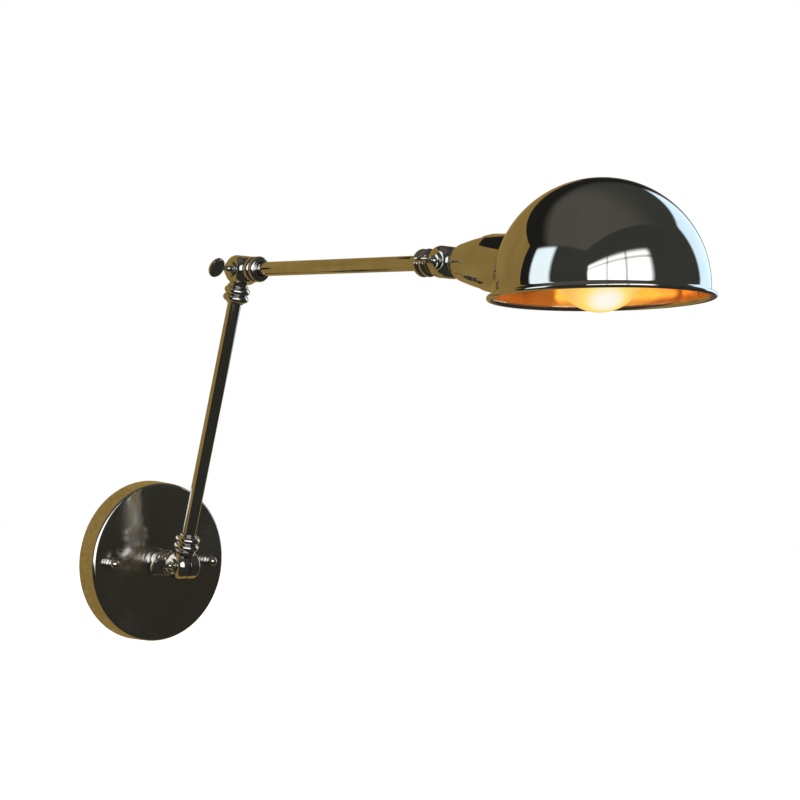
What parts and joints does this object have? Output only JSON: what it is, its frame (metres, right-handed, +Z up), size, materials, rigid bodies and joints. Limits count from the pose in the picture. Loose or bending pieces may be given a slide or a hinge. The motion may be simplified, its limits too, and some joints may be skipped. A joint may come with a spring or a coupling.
{
  "type": "swing arm wall sconce",
  "caption": "Wall sconce with a round wall canopy, two straight arms on friction knuckles with thumb screws, a bell-shaped cup and a polished metal dome shade over a round bulb.",
  "frame": {"origin": "centre of the mounting bar's back face, on the wall", "axes": "+Z up; +Y into the wall, so the sconce reaches out along -Y; +X along every tilt hinge"},
  "size_m": [0.1346, 0.5137, 0.3228],
  "materials": {
    "base_arm_knuckle": "polished plated metal",
    "base_fixed_knuckle": "polished plated metal",
    "base_friction_washer": "pressed fibre",
    "base_thumb_screw": "polished plated metal",
    "base_thumb_washer": "zinc plated steel",
    "bulb_cap": "plain brass",
    "bulb_contact": "plain brass",
    "bulb_filament": "glowing tungsten wire",
    "bulb_glass": "lit frosted glass",
    "canopy": "polished plated metal",
    "canopy_stud_left": "zinc plated steel",
    "canopy_stud_right": "zinc plated steel",
    "cap_nut_left": "polished plated metal",
    "cap_nut_right": "polished plated metal",
    "cup_nut": "plain brass",
    "dome_shade": "polished plated metal",
    "earth_screw": "plain brass",
    "elbow_friction_washer": "pressed fibre",
    "elbow_lower_knuckle": "polished plated metal",
    "elbow_thumb_screw": "polished plated metal",
    "elbow_thumb_washer": "zinc plated steel",
    "elbow_upper_knuckle": "polished plated metal",
    "holder_contact": "plain brass",
    "holder_shell": "plain brass",
    "lamp_holder": "moulded phenolic",
    "lower_tube": "polished plated metal",
    "mounting_bar": "zinc plated steel",
    "shade_arm_knuckle": "polished plated metal",
    "shade_cup_knuckle": "polished plated metal",
    "shade_friction_washer": "pressed fibre",
    "shade_thumb_screw": "polished plated metal",
    "shade_thumb_washer": "zinc plated steel",
    "socket_cup": "polished plated metal",
    "stem_lock_washer": "zinc plated steel",
    "stem_nut": "plain brass",
    "terminal_block": "moulded phenolic",
    "terminal_screw_left": "plain brass",
    "terminal_screw_right": "plain brass",
    "upper_tube": "polished plated metal"
  },
  "bodies": {
    "wall_plate": {"canopy": "canopy", "mounting_bar": "mounting_bar", "canopy_stud_left": "canopy_stud_left", "canopy_stud_right": "canopy_stud_right", "cap_nut_left": "cap_nut_left", "cap_nut_right": "cap_nut_right", "earth_screw": "earth_screw", "terminal_block": "terminal_block", "terminal_screw_left": "terminal_screw_left", "terminal_screw_right": "terminal_screw_right"},
    "swivel": {"base_fixed_knuckle": "base_fixed_knuckle", "stem_nut": "stem_nut", "stem_lock_washer": "stem_lock_washer", "base_thumb_washer": "base_thumb_washer", "base_friction_washer": "base_friction_washer"},
    "lower_arm": {"base_arm_knuckle": "base_arm_knuckle", "lower_tube": "lower_tube", "elbow_lower_knuckle": "elbow_lower_knuckle", "elbow_thumb_washer": "elbow_thumb_washer", "elbow_friction_washer": "elbow_friction_washer"},
    "upper_arm": {"elbow_upper_knuckle": "elbow_upper_knuckle", "upper_tube": "upper_tube", "shade_arm_knuckle": "shade_arm_knuckle", "shade_thumb_washer": "shade_thumb_washer", "shade_friction_washer": "shade_friction_washer"},
    "head": {"shade_cup_knuckle": "shade_cup_knuckle", "socket_cup": "socket_cup", "cup_nut": "cup_nut", "dome_shade": "dome_shade", "lamp_holder": "lamp_holder", "holder_shell": "holder_shell", "holder_contact": "holder_contact", "bulb_glass": "bulb_glass", "bulb_cap": "bulb_cap", "bulb_contact": "bulb_contact", "bulb_filament": "bulb_filament"},
    "base_thumb": {"base_thumb_screw": "base_thumb_screw"},
    "elbow_thumb": {"elbow_thumb_screw": "elbow_thumb_screw"},
    "shade_thumb": {"shade_thumb_screw": "shade_thumb_screw"}
  },
  "joints": [
    {"name": "base_swivel", "type": "hinge", "parent": "wall_plate", "child": "swivel", "pos_m": [0, -0.0174, 0], "axis": [0, -1, 0], "range_deg": [-80, 80]},
    {"name": "base_tilt", "type": "hinge", "parent": "swivel", "child": "lower_arm", "pos_m": [0, -0.0461, 0], "axis": [1, 0, 0], "range_deg": [-22, 75]},
    {"name": "elbow_tilt", "type": "hinge", "parent": "lower_arm", "child": "upper_arm", "pos_m": [0, -0.10181, 0.21696], "axis": [1, 0, 0], "range_deg": [-60, 25]},
    {"name": "shade_tilt", "type": "hinge", "parent": "upper_arm", "child": "head", "pos_m": [0, -0.31381, 0.21696], "axis": [1, 0, 0], "range_deg": [-55, 75]},
    {"name": "base_thumb_turn", "type": "hinge", "parent": "swivel", "child": "base_thumb", "pos_m": [0, -0.0461, 0], "axis": [1, 0, 0], "range_deg": [0, 180]},
    {"name": "elbow_thumb_turn", "type": "hinge", "parent": "lower_arm", "child": "elbow_thumb", "pos_m": [0, -0.10181, 0.21696], "axis": [1, 0, 0], "range_deg": [0, 180]},
    {"name": "shade_thumb_turn", "type": "hinge", "parent": "upper_arm", "child": "shade_thumb", "pos_m": [0, -0.31381, 0.21696], "axis": [1, 0, 0], "range_deg": [0, 180]}
  ]
}
